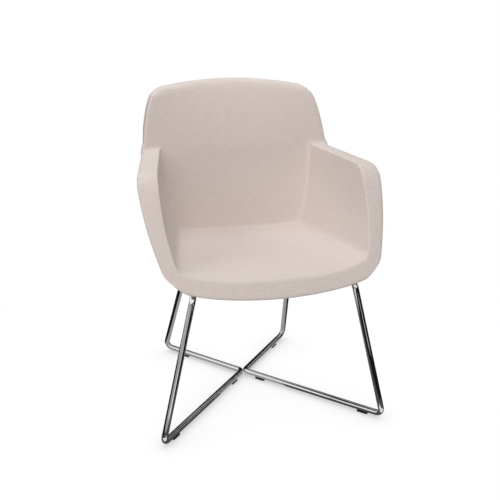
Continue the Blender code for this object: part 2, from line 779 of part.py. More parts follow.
seat_loops = (
    mirrored((0.55, SEAT_EDGE_SHARE, 0.93, 1.0)),
    (0.0, 0.05, 0.2, SEAT_REAR_SHARE - 0.04, SEAT_REAR_SHARE, 1.0),
    (0.0, 0.4, 1.0),
)
seat_pad = soften(add_part("seat_pad", cage_mesh(seat_loops, seat_form, seat_rim), FABRIC))
underside_low = (-CUTTER_REACH, LIP_BACK_Y, 0.0)
underside_high = (CUTTER_REACH, CUTTER_REACH, UNDERSIDE_Z)
underside = add_cutter("underside_room", box_mesh(underside_low, underside_high))
board_room = add_cutter("board_room", plate_mesh(board_outline(GAP), 2 * BOARD_THICK))
board_room.location.z = BOARD_TOP + GAP - BOARD_THICK
cut(seat_pad, [underside, board_room, ring_room, hoop_room] + pad_rooms)

# Flat trims: the pads above stand on the seat line, and the arms butt against the back
below_low = (-CUTTER_REACH, -CUTTER_REACH, 0.0)
below_high = (CUTTER_REACH, CUTTER_REACH, SEAT_Z + GAP)
below_seat_line = add_cutter("below_seat_line", box_mesh(below_low, below_high))
behind_low = (-CUTTER_REACH, 0.0, -CUTTER_REACH)
behind_arms = add_cutter("behind_arms", box_mesh(behind_low, (CUTTER_REACH, CUTTER_REACH, CUTTER_REACH)))
behind_arms.location = (0.0, BACK_Y - GAP, SEAT_Z)
behind_arms.rotation_euler.x = -BACK_LEAN


def arm_form(side):
    """u from inner to outer face, v from front to rear, w from below the seat line to the arm top."""
    def form(u, v, w):
        low = SEAT_Z - TRIM
        z = low + (ARM_Z - low) * w
        y = front_y(z) + v * (back_plane_y(z) + TRIM - front_y(z))
        z = low + (arm_top_z(y) - low) * w
        y = front_y(z) + v * (back_plane_y(z) + TRIM - front_y(z))
        inner = inner_x(y, max(z, SEAT_Z))
        outer = outer_x(y, max(z, SEAT_Z))
        return side * (inner + u * (outer - inner)), y, z
    return form


def no_rim(u, v, w):
    return False


arm_loops = (
    (0.0, 0.14, 0.5, 0.86, 1.0),
    (0.0, 0.05, 0.13, 0.4, 0.75, 1.0),
    (0.0, 0.15, 0.5, 0.87, 0.95, 1.0),
)
for label, side in SIDES:
    arm = soften(add_part(label + "_arm_pad", cage_mesh(arm_loops, arm_form(side), no_rim), FABRIC))
    cut(arm, [below_seat_line, behind_arms, ring_room])


def back_form(u, v, w):
    """u across, v from front to rear, w from below the seat line to the top."""
    low = SEAT_Z - TRIM
    top = BACK_Z - BACK_TOP_CROWN * u * u
    z = low + (top - low) * w
    above_arms = max(0.0, (z - ARM_Z) / (BACK_RISE - ARM_RISE))
    side_z = min(max(z, SEAT_Z), ARM_Z)
    half = outer_x(back_y(side_z) + v * BACK_THICK, side_z) - BACK_SIDE_INSET
    half -= BACK_TOP_NARROWING * above_arms ** BACK_NARROWING_POWER
    in_corner = min(1.0, max(0.0, (z - top) / BACK_CORNER_R + 1.0))
    half -= BACK_CORNER_R * (1.0 - math.sqrt(1.0 - in_corner ** 2))
    y = back_y(z) + hollow(u) * (1.0 - REAR_FLATNESS * v) + v * BACK_THICK
    return u * half, y, z


back_loops = (
    mirrored((0.4, 0.7, 0.85, 0.95, 1.0)),
    (0.0, 0.3, 0.7, 1.0),
    (0.0, 0.15, 0.45, 0.7, 0.88, 0.96, 1.0),
)
back_pad = soften(add_part("back_pad", cage_mesh(back_loops, back_form, no_rim), FABRIC))
cut(back_pad, [below_seat_line, ring_room, hoop_room])

for pad in (seat_pad, back_pad):
    close_slits(pad)
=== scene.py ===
# %% [markdown]
# A tub chair on a bent-wire base.
# The chair has a seat, two arms and a back that share one tight fabric cover, and it stands on two closed
# loops of chromed rod with small black glides.
# The frame that is loaded first holds every piece at its real size. This lesson gives the hard pieces their
# finishes, and models the cover and the bright rods anew, in metres and in the same place.

# %% Load the frame
import json
import math

import bpy
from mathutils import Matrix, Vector


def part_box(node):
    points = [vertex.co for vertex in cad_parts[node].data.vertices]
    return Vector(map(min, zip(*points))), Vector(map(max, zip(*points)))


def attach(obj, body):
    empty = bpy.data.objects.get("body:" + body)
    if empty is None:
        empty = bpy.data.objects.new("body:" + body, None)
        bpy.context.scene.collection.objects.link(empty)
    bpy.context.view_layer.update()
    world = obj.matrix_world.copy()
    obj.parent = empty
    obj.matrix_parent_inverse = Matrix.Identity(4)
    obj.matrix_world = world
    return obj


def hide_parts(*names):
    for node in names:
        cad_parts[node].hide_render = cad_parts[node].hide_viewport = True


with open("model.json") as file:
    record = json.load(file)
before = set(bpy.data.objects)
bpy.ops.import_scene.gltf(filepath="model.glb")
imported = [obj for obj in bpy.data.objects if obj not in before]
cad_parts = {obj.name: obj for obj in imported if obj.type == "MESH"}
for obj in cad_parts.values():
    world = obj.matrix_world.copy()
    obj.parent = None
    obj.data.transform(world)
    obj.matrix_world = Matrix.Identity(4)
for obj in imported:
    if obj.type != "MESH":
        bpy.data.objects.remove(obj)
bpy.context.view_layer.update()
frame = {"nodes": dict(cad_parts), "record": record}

nodes = frame["nodes"]
scene = bpy.context.scene

# %% [markdown]
# The camera stands in front of the chair, a little to its left and above it, and looks down on the seat.
# A long lens keeps the legs nearly parallel. Its place was solved from the mirrored points of the base, so
# it is written as a place, a turn and a tilt, and not aimed by eye.

# %% Camera
CAMERA_PLACE = (-0.5137, -1.9743, 1.0249)
CAMERA_TILT = 16.825  # degrees below level
CAMERA_TURN = 14.674  # degrees to the right of straight ahead
CAMERA_LENS = 55.66  # millimetres, on a sensor 36 mm wide

bpy.ops.object.camera_add(
    location=CAMERA_PLACE,
    rotation=(math.radians(90 - CAMERA_TILT), 0.0, math.radians(-CAMERA_TURN)),
)
camera = bpy.context.object
camera.data.lens = CAMERA_LENS
scene.camera = camera
scene.view_settings.view_transform = "Standard"
print("camera at", CAMERA_PLACE)

# %% [markdown]
# Studio light is broad and soft: a box of light to the left, one overhead, one in front, and a pale room
# all round. The room could be built from white walls, but a world colour does the same for less. Rays
# from the camera and from mirrors see pure white in place of that pale room.

# %% Light
ROOM_LIGHT = 0.10
SOFTBOX_AIM = (0.0, 0.0, 0.45)  # about the middle of the tub
SOFTBOXES = (
    # name, place, size in metres, watts, colour
    ("left_softbox", (-3.0, -0.6, 2.4), 2.0, 38.0, (1.0, 1.0, 1.0)),
    ("top_softbox", (0.1, 0.1, 3.0), 2.6, 53.0, (0.965, 0.98, 1.0)),
    ("front_softbox", (-0.8, -3.5, 1.6), 2.4, 65.0, (1.0, 0.985, 0.965)),
)


def light_room(strength):
    world = bpy.data.worlds.new("studio")
    world.use_nodes = True
    scene.world = world
    tree = world.node_tree
    shown = tree.nodes.new("ShaderNodeBackground")
    shown.inputs["Strength"].default_value = 1.0
    room = tree.nodes["Background"]
    for background in (shown, room):
        background.inputs["Color"].default_value = (1.0, 1.0, 1.0, 1.0)
    room.inputs["Strength"].default_value = strength
    path = tree.nodes.new("ShaderNodeLightPath")
    seen = tree.nodes.new("ShaderNodeMath")
    seen.operation = "MAXIMUM"
    tree.links.new(path.outputs["Is Camera Ray"], seen.inputs[0])
    tree.links.new(path.outputs["Is Glossy Ray"], seen.inputs[1])
    mix = tree.nodes.new("ShaderNodeMixShader")
    tree.links.new(seen.outputs[0], mix.inputs["Fac"])
    tree.links.new(room.outputs[0], mix.inputs[1])
    tree.links.new(shown.outputs[0], mix.inputs[2])
    tree.links.new(mix.outputs[0], tree.nodes["World Output"].inputs["Surface"])


light_room(ROOM_LIGHT)
for name, place, size, watts, colour in SOFTBOXES:
    turn = (Vector(SOFTBOX_AIM) - Vector(place)).to_track_quat("-Z", "Y").to_euler()
    bpy.ops.object.light_add(type="AREA", location=place, rotation=turn)
    lamp = bpy.context.object
    lamp.name = name
    lamp.data.shape = "DISK"
    lamp.data.size = size
    lamp.data.energy = watts
    lamp.data.color = colour
    lamp.visible_glossy = False
print("light:", len(SOFTBOXES), "softboxes and a room at", ROOM_LIGHT)

# %% [markdown]
# The floor is a plain sheet under the chair. A real studio has a paper roll that curves up behind the set.
# Here the sheet is so wide that its far edge is never seen, so it needs no curve.

# %% Floor
FLOOR_SIZE = 60.0

bpy.ops.mesh.primitive_plane_add(size=FLOOR_SIZE)
floor = bpy.context.object
floor.name = "studio_floor"
print("floor:", FLOOR_SIZE, "m wide")

# %% [markdown]
# The floor looks white and keeps only a soft shadow. For the camera it mostly glows. Close under the rods
# and feet an occlusion mask dims the glow: a painted contact shadow, standing in for the shadow of a broad
# light. A small share of the floor is lit like any other sheet and keeps its real shadow. Far from the chair
# it turns plain white. Every other ray sees a grey floor, which throws only a little light up under the tub.

# %% Floor finish
FLOOR_SHADE = 0.08  # share of the floor that is lit
FLOOR_GREY = 0.35  # what every other ray sees
# painted contact shadow: within this reach an occlusion mask dims the floor's glow, from the first glow
# under a piece to the second in the open
PAINTED_SHADOW_REACH = 0.16  # metres round a foot or rod
PAINTED_SHADOW_GLOW = (0.40, 0.96)  # glow right under a piece and in the open
FLOOR_FADE = (0.55, 1.1)  # metres from the middle, over which the shaded floor turns plain white


def make_floor_finish():
    finish = bpy.data.materials.new("studio_floor")
    finish.use_nodes = True
    tree = finish.node_tree
    link = tree.links.new
    tree.nodes.remove(tree.nodes["Principled BSDF"])
    lit = tree.nodes.new("ShaderNodeBsdfDiffuse")
    lit.inputs["Color"].default_value = (FLOOR_SHADE, FLOOR_SHADE, FLOOR_SHADE, 1.0)
    # ambient occlusion darkens the glow under the rods and feet: a painted contact shadow
    contact = tree.nodes.new("ShaderNodeAmbientOcclusion")
    contact.inputs["Distance"].default_value = PAINTED_SHADOW_REACH
    painted_contact_shadow = tree.nodes.new("ShaderNodeMapRange")
    painted_contact_shadow.inputs["To Min"].default_value, painted_contact_shadow.inputs["To Max"].default_value = PAINTED_SHADOW_GLOW
    link(contact.outputs["AO"], painted_contact_shadow.inputs["Value"])
    glow = tree.nodes.new("ShaderNodeEmission")
    link(painted_contact_shadow.outputs["Result"], glow.inputs["Strength"])
    near = tree.nodes.new("ShaderNodeAddShader")
    link(lit.outputs[0], near.inputs[0])
    link(glow.outputs[0], near.inputs[1])
    far = tree.nodes.new("ShaderNodeEmission")
    place = tree.nodes.new("ShaderNodeTexCoord")
    away = tree.nodes.new("ShaderNodeVectorMath")
    away.operation = "LENGTH"
    link(place.outputs["Object"], away.inputs[0])
    fade = tree.nodes.new("ShaderNodeMapRange")
    fade.interpolation_type = "SMOOTHSTEP"
    fade.inputs["From Min"].default_value, fade.inputs["From Max"].default_value = FLOOR_FADE
    link(away.outputs["Value"], fade.inputs["Value"])
    shown = tree.nodes.new("ShaderNodeMixShader")
    link(fade.outputs["Result"], shown.inputs["Fac"])
    link(near.outputs[0], shown.inputs[1])
    link(far.outputs[0], shown.inputs[2])
    plain = tree.nodes.new("ShaderNodeBsdfDiffuse")
    plain.inputs["Color"].default_value = (FLOOR_GREY, FLOOR_GREY, FLOOR_GREY, 1.0)
    path = tree.nodes.new("ShaderNodeLightPath")
    mix = tree.nodes.new("ShaderNodeMixShader")
    link(path.outputs["Is Camera Ray"], mix.inputs["Fac"])
    link(plain.outputs[0], mix.inputs[1])
    link(shown.outputs[0], mix.inputs[2])
    link(mix.outputs[0], tree.nodes["Material Output"].inputs["Surface"])
    return finish


floor.data.materials.append(make_floor_finish())
print("finish:", floor.data.materials[0].name)

# %% [markdown]
# Bright rod needs something dark to reflect, or it looks like white plastic. Photographers stand black
# cards beside the set, and lay grey and pale ones on the floor for the bright lines between. These cards are
# seen by mirrors only, so they put streaks on the chrome and leave the light on the fabric as it is.

# %% Cards round the chrome
STANDING, LYING = 90.0, 0.0
BLACK, GREY, PALE_GREY, PALE = 0.01, 0.38, 0.50, 0.85
CARD_LIFT = 0.002  # metres over the floor
STRIP_LIFT = 0.004
PATCH_LIFT = 0.005
CARDS = (
    # name, middle, width, height or depth, lean, turn about the vertical in degrees, grey from 0 to 1
    ("rear_card", (0.0, 2.65, 1.27), 4.6, 2.54, STANDING, 0.0, BLACK),
    ("right_low_card", (2.25, -0.15, 0.43), 5.9, 0.86, STANDING, 90.0, BLACK),
    ("right_high_card", (2.25, -0.15, 1.84), 5.9, 1.40, STANDING, 90.0, BLACK),
    ("left_low_card", (-2.25, -0.15, 0.15), 5.9, 0.30, STANDING, -90.0, PALE_GREY),
    ("ceiling_card", (0.0, -0.15, 2.55), 4.7, 5.9, LYING, 0.0, PALE_GREY),
    ("under_front_card", (0.0, -0.235, CARD_LIFT), 0.84, 0.37, LYING, 0.0, 0.08),
    ("under_rear_card", (0.0, 0.25, CARD_LIFT), 0.84, 0.60, LYING, 0.0, GREY),
    ("rear_floor_card", (0.0, 1.625, CARD_LIFT), 4.6, 2.15, LYING, 0.0, BLACK),
    ("left_floor_card", (-1.36, 0.065, CARD_LIFT), 1.88, 0.97, LYING, 0.0, BLACK),
    ("right_floor_card", (1.36, 0.065, CARD_LIFT), 1.88, 0.97, LYING, 0.0, BLACK),
    ("front_left_card", (-1.245, -1.735, CARD_LIFT), 2.11, 2.63, LYING, 0.0, GREY),
    ("front_right_card", (1.055, -1.735, CARD_LIFT), 2.49, 2.63, LYING, 0.0, BLACK),
    ("left_leg_strip", (-0.305, -0.90, STRIP_LIFT), 0.20, 0.76, LYING, 2.0, 0.95),
    ("right_leg_strip", (0.533, -1.144, STRIP_LIFT), 0.22, 0.70, LYING, 15.7, 0.70),
    ("left_foot_patch", (-0.305, -0.322, PATCH_LIFT), 0.10, 0.05, LYING, 0.0, PALE),
    ("right_foot_patch", (0.295, -0.322, PATCH_LIFT), 0.10, 0.05, LYING, 0.0, PALE),
    ("left_rear_strip", (-0.32, 0.25, STRIP_LIFT), 0.20, 0.60, LYING, 0.0, BLACK),
    ("right_rear_strip", (0.32, 0.25, STRIP_LIFT), 0.20, 0.60, LYING, 0.0, BLACK),
)


def add_card(name, middle, width, height, lean, turn, grey):
    bpy.ops.mesh.primitive_plane_add(size=1.0)
    card = bpy.context.object
    card.name = name
    card.scale = (width, height, 1.0)
    card.rotation_euler = (math.radians(lean), 0.0, math.radians(turn))
    card.location = middle
    card.visible_camera = False
    card.visible_diffuse = False
    card.visible_shadow = False
    finish = bpy.data.materials.new(name)
    finish.use_nodes = True
    tree = finish.node_tree
    tree.nodes.remove(tree.nodes["Principled BSDF"])
    shown = tree.nodes.new("ShaderNodeEmission")
    shown.inputs["Color"].default_value = (grey, grey, grey, 1.0)
    tree.links.new(shown.outputs[0], tree.nodes["Material Output"].inputs["Surface"])
    card.data.materials.append(finish)


for card in CARDS:
    add_card(*card)
print("cards:", len(CARDS))

# %% [markdown]
# Two effects are node groups, so that a finish can use them with a few values of its own. The first is a
# plain weave: two sets of threads that pass over and under each other, with slubs, the thicker stretches
# of a spun yarn.
# An image could show it too, but threads worked out from sine waves stay sharp at any distance.

# %% Plain weave group
THREAD_TURN = math.pi  # half a wave is one thread
SLUBS_ACROSS = (48.0, 300.0, 1.0)  # per metre of the map: long in U, thin in V
SLUBS_ALONG = (420.0, 60.0, 1.0)  # thin in U, long in V
ALONG_SHARE = 0.35
SLUB_DETAIL = 2.0


def new_group(name, sockets):
    """An empty node group with named sockets, given as (name, in or out, type)."""
    group = bpy.data.node_groups.new(name, "ShaderNodeTree")
    for label, way, kind in sockets:
        group.interface.new_socket(label, in_out=way, socket_type="NodeSocket" + kind)
    enter = group.nodes.new("NodeGroupInput")
    leave = group.nodes.new("NodeGroupOutput")
    return group, enter, leave


def math_node(tree, operation, first, second=None):
    """A Math node. Each input is a socket or a number."""
    node = tree.nodes.new("ShaderNodeMath")
    node.operation = operation
    for socket, value in zip(node.inputs, (first, second)):
        if value is None:
            continue
        if isinstance(value, (int, float)):
            socket.default_value = value
        else:
            tree.links.new(value, socket)
    return node.outputs[0]


def noise_node(tree, vector, scale, detail, stretch=(1.0, 1.0, 1.0)):
    """Noise from 0 to 1, drawn out along the axes where stretch is small."""
    mapping = tree.nodes.new("ShaderNodeMapping")
    mapping.inputs["Scale"].default_value = [scale * part for part in stretch]
    tree.links.new(vector, mapping.inputs["Vector"])
    noise = tree.nodes.new("ShaderNodeTexNoise")
    noise.inputs["Scale"].default_value = 1.0
    noise.inputs["Detail"].default_value = detail
    tree.links.new(mapping.outputs[0], noise.inputs["Vector"])
    return noise.outputs["Fac"]


def mix_values(tree, factor, first, second):
    """A Mix node for numbers. Each input is a socket or a number."""
    node = tree.nodes.new("ShaderNodeMix")
    for socket, value in zip((node.inputs[0], node.inputs[2], node.inputs[3]), (factor, first, second)):
        if isinstance(value, (int, float)):
            socket.default_value = value
        else:
            tree.links.new(value, socket)
    return node.outputs[0]


def make_weave_group():
    group, enter, leave = new_group("plain_weave", (
        ("Vector", "INPUT", "Vector"),
        ("Threads per metre", "INPUT", "Float"),
        ("Height", "OUTPUT", "Float"),
        ("Slub", "OUTPUT", "Float"),
    ))
    split = group.nodes.new("ShaderNodeSeparateXYZ")
    group.links.new(enter.outputs["Vector"], split.inputs[0])
    waves = []
    for axis in ("X", "Y"):
        count = math_node(group, "MULTIPLY", split.outputs[axis], enter.outputs["Threads per metre"])
        phase = math_node(group, "MULTIPLY", count, THREAD_TURN)
        waves.append(math_node(group, "SINE", phase))
    over = math_node(group, "GREATER_THAN", math_node(group, "MULTIPLY", *waves), 0.0)
    warp, weft = (math_node(group, "ABSOLUTE", wave) for wave in waves)
    group.links.new(mix_values(group, over, warp, weft), leave.inputs["Height"])
    across = noise_node(group, enter.outputs["Vector"], 1.0, SLUB_DETAIL, SLUBS_ACROSS)
    along = noise_node(group, enter.outputs["Vector"], 1.0, SLUB_DETAIL, SLUBS_ALONG)
    slub = mix_values(group, ALONG_SHARE, across, along)
    group.links.new(slub, leave.inputs["Slub"])
    return group


weave_group = make_weave_group()
print("group:", weave_group.name)

# %% [markdown]
# The second shared effect is handling: soft clouds where hands and cloths have been, and fine specks.
# Metals, lacquer and plastic use it, each at its own strength.

# %% Handling group
CLOUD_DETAIL = 4.0
SPECK_DETAIL = 1.0
SPECKS_PER_METRE = 1400.0


def make_handling_group():
    group, enter, leave = new_group("handling", (
        ("Vector", "INPUT", "Vector"),
        ("Clouds per metre", "INPUT", "Float"),
        ("Clouds", "OUTPUT", "Float"),
        ("Specks", "OUTPUT", "Float"),
    ))
    scaled = group.nodes.new("ShaderNodeVectorMath")
    scaled.operation = "SCALE"
    group.links.new(enter.outputs["Vector"], scaled.inputs[0])
    group.links.new(enter.outputs["Clouds per metre"], scaled.inputs["Scale"])
    clouds = noise_node(group, scaled.outputs[0], 1.0, CLOUD_DETAIL)
    group.links.new(clouds, leave.inputs["Clouds"])
    specks = noise_node(group, enter.outputs["Vector"], SPECKS_PER_METRE, SPECK_DETAIL)
    group.links.new(specks, leave.inputs["Specks"])
    return group


handling_group = make_handling_group()
print("group:", handling_group.name)

# %% [markdown]
# Every finish starts the same way: a Principled shader, coordinates on the piece and, where they help, the
# groups above. Small helpers keep each finish to the few lines that make it different.

# %% Finish helpers
def new_finish(name, colour, roughness, metallic=0.0):
    finish = bpy.data.materials.new(name)
    finish.use_nodes = True
    tree = finish.node_tree
    shader = tree.nodes["Principled BSDF"]
    shader.inputs["Base Color"].default_value = (*colour, 1.0)
    shader.inputs["Roughness"].default_value = roughness
    shader.inputs["Metallic"].default_value = metallic
    return finish, tree, shader


def object_place(tree):
    return tree.nodes.new("ShaderNodeTexCoord").outputs["Object"]


def add_group(tree, group, vector, **values):
    node = tree.nodes.new("ShaderNodeGroup")
    node.node_tree = group
    tree.links.new(vector, node.inputs["Vector"])
    for label, value in values.items():
        node.inputs[label.replace("_", " ")].default_value = value
    return node.outputs


def ramp(tree, value, stops):
    """A colour ramp over (place, colour) stops."""
    node = tree.nodes.new("ShaderNodeValToRGB")
    tree.links.new(value, node.inputs["Fac"])
    elements = node.color_ramp.elements
    while len(elements) < len(stops):
        elements.new(0.5)
    for element, (place, colour) in zip(elements, stops):
        element.position = place
        element.color = (*colour, 1.0)
    return node.outputs["Color"]


def spread(tree, value, low, high):
    """The value, from 0 to 1, spread between low and high."""
    node = tree.nodes.new("ShaderNodeMapRange")
    node.inputs["To Min"].default_value = low
    node.inputs["To Max"].default_value = high
    tree.links.new(value, node.inputs["Value"])
    return node.outputs["Result"]


def add_bump(tree, shader, height, strength, distance):
    bump = tree.nodes.new("ShaderNodeBump")
    bump.inputs["Strength"].default_value = strength
    bump.inputs["Distance"].default_value = distance
    tree.links.new(height, bump.inputs["Height"])
    tree.links.new(bump.outputs["Normal"], shader.inputs["Normal"])


def shades(colour, stops):
    """Stops of a ramp in shades of one colour, from (place, factor) pairs."""
    return [(place, tuple(part * factor for part in colour)) for place, factor in stops]


print("finish helpers ready")

# %% [markdown]
# The cover is a fine plain weave in a pale warm grey. Up close its yarn is uneven: some threads are a little
# lighter, some a little darker, and the eye reads them as short level dashes. Shade between the threads and
# light on their tops are painted into the colour too. The weave follows the cover's own UV map, which is in
# metres, so the threads run straight on every panel.

# %% Fabric finish
FABRIC_COLOUR = (0.640, 0.560, 0.520)
YARN_SHADES = ((0.30, 0.93), (0.50, 1.0), (0.70, 1.06))
# painted shade between the threads and a painted highlight on top of them, multiplied into the yarn colour
THREAD_PAINTED_SHADE = (0.90, 1.05)  # between the threads and on top of them
THREADS_PER_METRE = 720.0
WEAVE_MAP = "weave"


def make_fabric():
    finish, tree, shader = new_finish("warm_grey_fabric", FABRIC_COLOUR, roughness=0.9)
    shader.inputs["Sheen Weight"].default_value = 0.12
    shader.inputs["Sheen Roughness"].default_value = 0.5
    shader.inputs["Specular IOR Level"].default_value = 0.2
    cloth_map = tree.nodes.new("ShaderNodeUVMap")
    cloth_map.uv_map = WEAVE_MAP
    weave = add_group(tree, weave_group, cloth_map.outputs["UV"], Threads_per_metre=THREADS_PER_METRE)
    yarn = ramp(tree, weave["Slub"], shades(FABRIC_COLOUR, YARN_SHADES))
    # the weave's height darkens the colour between threads and lightens it on their tops: painted shade and
    # highlight
    depth = spread(tree, weave["Height"], *THREAD_PAINTED_SHADE)
    shaded = tree.nodes.new("ShaderNodeVectorMath")
    shaded.operation = "SCALE"
    tree.links.new(yarn, shaded.inputs[0])
    tree.links.new(depth, shaded.inputs["Scale"])
    tree.links.new(shaded.outputs[0], shader.inputs["Base Color"])
    add_bump(tree, shader, weave["Height"], strength=0.35, distance=0.0003)
    return finish


fabric = make_fabric()
print("finish:", fabric.name)

# %% [markdown]
# The rods are chromed: a nearly perfect mirror, with a faint haze where it has been wiped. The bars, bolts
# and clips are zinc plated, duller and cloudy. The hidden frames are lacquered black, the glides are moulded
# plastic with a fine grain.

# %% Metal and plastic finishes
CLOUD_SHADES = ((0.3, 0.94), (0.7, 1.03))
SPECK_HEIGHT = 0.0002  # metres


def make_hard_finish(name, colour, smooth, dull, clouds_per_metre, grain=0.0, metallic=1.0):
    """A cloudy finish with a roughness from smooth to dull. The grain is the strength of its specks."""
    finish, tree, shader = new_finish(name, colour, smooth, metallic)
    marks = add_group(tree, handling_group, object_place(tree), Clouds_per_metre=clouds_per_metre)
    tree.links.new(spread(tree, marks["Clouds"], smooth, dull), shader.inputs["Roughness"])
    tone = ramp(tree, marks["Clouds"], shades(colour, CLOUD_SHADES))
    tree.links.new(tone, shader.inputs["Base Color"])
    if grain:
        add_bump(tree, shader, marks["Specks"], grain, SPECK_HEIGHT)
    return finish


chrome = make_hard_finish("chrome", (0.80, 0.80, 0.80), smooth=0.03, dull=0.09, clouds_per_metre=14.0)
zinc = make_hard_finish(
    "zinc_plate", (0.60, 0.61, 0.62),
    smooth=0.28, dull=0.46, clouds_per_metre=60.0, grain=0.15,
)
lacquer = make_hard_finish(
    "black_lacquer", (0.035, 0.035, 0.038),
    smooth=0.30, dull=0.42, clouds_per_metre=40.0, grain=0.10, metallic=0.0,
)
plastic = make_hard_finish(
    "black_moulded_plastic", (0.014, 0.014, 0.015),
    smooth=0.45, dull=0.60, clouds_per_metre=50.0, grain=0.30, metallic=0.0,
)
print("finishes:", chrome.name, zinc.name, lacquer.name, plastic.name)

# %% [markdown]
# The seat board is birch plywood. Its faces show long grain, and its edges show the thin plies in turn
# light and dark. The face that a point lies on is told from its normal.

# %% Plywood and dust cloth finishes
PLY = 0.0014  # metres, one veneer
BIRCH = (0.60, 0.45, 0.29)
GRAIN = (9.0, 140.0, 140.0)  # streaks per metre, drawn out across the board
GRAIN_DETAIL = 5.0
GRAIN_SHADES = ((0.35, 0.78), (0.65, 1.08))
PLY_SHADES = ((0.40, 0.60), (0.60, 1.05))
FLAT_FACE = 0.7  # a normal more upright than this is on a face and not on an edge
DUST_CLOTH = (0.02, 0.02, 0.021)
FIBRES = (900.0, 500.0, 500.0)  # per metre
FIBRE_DETAIL = 3.0
FIBRE_STOPS = ((0.35, (0.012, 0.012, 0.013)), (0.65, (0.034, 0.034, 0.036)))


def make_plywood():
    finish, tree, shader = new_finish("birch_plywood", BIRCH, roughness=0.6)
    place = object_place(tree)
    grain = noise_node(tree, place, 1.0, GRAIN_DETAIL, GRAIN)
    face = ramp(tree, grain, shades(BIRCH, GRAIN_SHADES))
    split = tree.nodes.new("ShaderNodeSeparateXYZ")
    tree.links.new(place, split.inputs[0])
    layers = math_node(tree, "SINE", math_node(tree, "MULTIPLY", split.outputs["Z"], math.pi / PLY))
    edge = ramp(tree, layers, shades(BIRCH, PLY_SHADES))
    facing = tree.nodes.new("ShaderNodeNewGeometry")
    upright = tree.nodes.new("ShaderNodeSeparateXYZ")
    tree.links.new(facing.outputs["Normal"], upright.inputs[0])
    flat = math_node(tree, "GREATER_THAN", math_node(tree, "ABSOLUTE", upright.outputs["Z"]), FLAT_FACE)
    mix = tree.nodes.new("ShaderNodeMix")
    mix.data_type = "RGBA"
    # inputs 6 and 7 and output 2 of a Mix node are its colours
    tree.links.new(flat, mix.inputs[0])
    tree.links.new(edge, mix.inputs[6])
    tree.links.new(face, mix.inputs[7])
    tree.links.new(mix.outputs[2], shader.inputs["Base Color"])
    add_bump(tree, shader, grain, strength=0.2, distance=0.0004)
    return finish


def make_dust_cloth():
    finish, tree, shader = new_finish("black_dust_cloth", DUST_CLOTH, roughness=0.95)
    fibres = noise_node(tree, object_place(tree), 1.0, FIBRE_DETAIL, FIBRES)
    tone = ramp(tree, fibres, FIBRE_STOPS)
    tree.links.new(tone, shader.inputs["Base Color"])
    add_bump(tree, shader, fibres, strength=0.4, distance=0.0003)
    return finish


plywood = make_plywood()
dust_cloth = make_dust_cloth()
print("finishes:", plywood.name, dust_cloth.name)

# %% [markdown]
# The tub is moulded foam under one tight cover, with no seam in sight: a thin shell of seat, arms and back
# with tight inner corners and mostly rounder outer edges. It could be sculpted, but a box model is easier
# to hold to its sizes. So it is first modelled straight, as a tray whose rim is drawn up into arms and a
# back. Cuts beside an edge hold it tight, and each list below gives their distances from one kind of edge.

# %% Straight tub: sizes
SEAT_HALF = 0.2375  # middle of the seat to the arm
WALL = 0.053  # arms and back, through the foam
SEAT_DEPTH = 0.3568  # front face to the back
TRAY = 0.074  # underside to the seat
ARM = 0.2112  # seat to the arm top
BACK = 0.1978  # arm top to the top of the back
OUTER_HALF = SEAT_HALF + WALL
FULL_DEPTH = SEAT_DEPTH + WALL
ARM_TOP = TRAY + ARM
BACK_TOP = ARM_TOP + BACK
EDGE_LINES = (0.0025, 0.008, 0.021)  # outer edges
CORNER_LINES = (0.003, 0.0075, 0.015)  # inner corners
ARM_INNER_LINES = (0.002, 0.006, 0.018)
FRONT_LINES = (0.0025, 0.008, 0.018, 0.036)  # front face and arm tops, which meet in a large round corner
BOTTOM_LINES = (0.003, 0.010, 0.020, 0.036)
SEAT_LINES = (0.0025, 0.008, 0.018)
BACK_FOOT_LINES = (0.004, 0.010, 0.020)
BACK_TOP_LINES = (0.0025, 0.008, 0.021, 0.045)


def lines_between(low, high, after_low, before_high, middles=()):
    """Cuts between two edges: some beside each edge, and some at shares of the way."""
    lines = [low + step for step in after_low] + [high - step for step in before_high]
    return sorted(lines + [low + (high - low) * part for part in middles])


seat_cuts = [0.0] + lines_between(0.0, SEAT_HALF, (), CORNER_LINES, middles=(0.3, 0.6, 0.8))
arm_cuts = lines_between(SEAT_HALF, OUTER_HALF, ARM_INNER_LINES, EDGE_LINES)
half_cuts = seat_cuts + [SEAT_HALF] + arm_cuts
ACROSS_CUTS = [-cut for cut in reversed(half_cuts[1:])] + half_cuts
DEPTH_CUTS = (
    lines_between(0.0, SEAT_DEPTH, FRONT_LINES, CORNER_LINES, middles=(0.25, 0.5, 0.75))
    + [SEAT_DEPTH]
    + lines_between(SEAT_DEPTH, FULL_DEPTH, EDGE_LINES, EDGE_LINES)
)
TRAY_CUTS = lines_between(0.0, TRAY, BOTTOM_LINES, SEAT_LINES)
ARM_CUTS = lines_between(TRAY, ARM_TOP, CORNER_LINES, FRONT_LINES, middles=(0.3, 0.5, 0.7))
BACK_CUTS = lines_between(ARM_TOP, BACK_TOP, BACK_FOOT_LINES, BACK_TOP_LINES, middles=(0.3, 0.55))
print("tub:", len(ACROSS_CUTS), "cuts across,", len(DEPTH_CUTS), "in depth")

# %% [markdown]
# A cube becomes the tray. Bisect cuts it where edges and corners will be. Then the faces of its rim are
# extruded up by the height of the arms, and the rear ones once more by the height of the back.

# %% Straight tub: box model
X, Y, Z = 0, 1, 2
FACE_SLACK = 1e-4  # metres, when a face is looked up by its place


def only(obj):
    """Select this object alone and make it active."""
    bpy.ops.object.select_all(action="DESELECT")
    obj.select_set(True)
    bpy.context.view_layer.objects.active = obj


